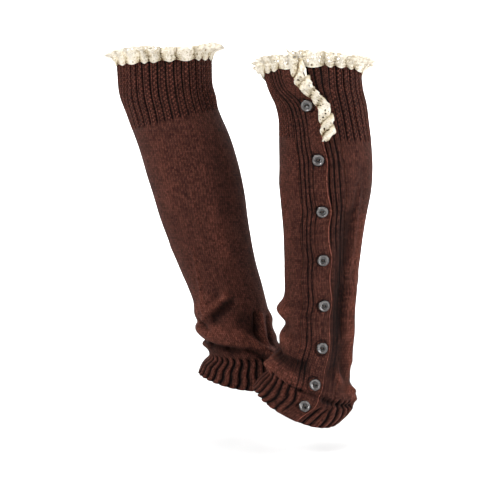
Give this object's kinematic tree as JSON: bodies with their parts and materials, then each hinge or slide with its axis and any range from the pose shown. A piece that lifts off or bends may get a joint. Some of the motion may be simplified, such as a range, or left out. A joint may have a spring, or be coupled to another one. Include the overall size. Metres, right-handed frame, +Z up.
{
  "type": "pair of knitted boot cuffs",
  "caption": "Worn pair of knee-high knitted boot cuffs, ribbed at top and ankle, with gathered lace at the rim and a button placket down each outer side.",
  "frame": {"origin": "halfway between the middles of the two cuffs' top bands, where the wearer's calves hold the pair up", "axes": "+Z up the standing wearer, -Y the way the wearer faces, +X the wearer's left"},
  "size_m": [0.2447, 0.2889, 0.4664],
  "materials": {
    "stocking_stitch": "matte wool-blend stocking stitch, chestnut brown",
    "rib_knit": "matte wool-blend rib, chestnut brown with dark furrows",
    "cream_lace": "cotton crochet lace, cream",
    "grey_button": "glossy smoke-grey horn look"
  },
  "bodies": {
    "root": {"left_top_rib": "rib_knit", "left_leg": "stocking_stitch", "left_ankle_rib": "rib_knit", "left_front_band": "rib_knit", "left_back_band": "rib_knit", "left_top_lace": "cream_lace", "left_flap_lace": "cream_lace", "left_button_1": "grey_button", "left_button_2": "grey_button", "left_button_3": "grey_button", "left_button_4": "grey_button", "left_button_5": "grey_button", "left_button_6": "grey_button", "left_button_7": "grey_button", "left_button_8": "grey_button", "right_top_rib": "rib_knit", "right_leg": "stocking_stitch", "right_ankle_rib": "rib_knit", "right_front_band": "rib_knit", "right_back_band": "rib_knit", "right_top_lace": "cream_lace", "right_flap_lace": "cream_lace", "right_button_1": "grey_button", "right_button_2": "grey_button", "right_button_3": "grey_button", "right_button_4": "grey_button", "right_button_5": "grey_button", "right_button_6": "grey_button", "right_button_7": "grey_button", "right_button_8": "grey_button"}
  },
  "joints": []
}
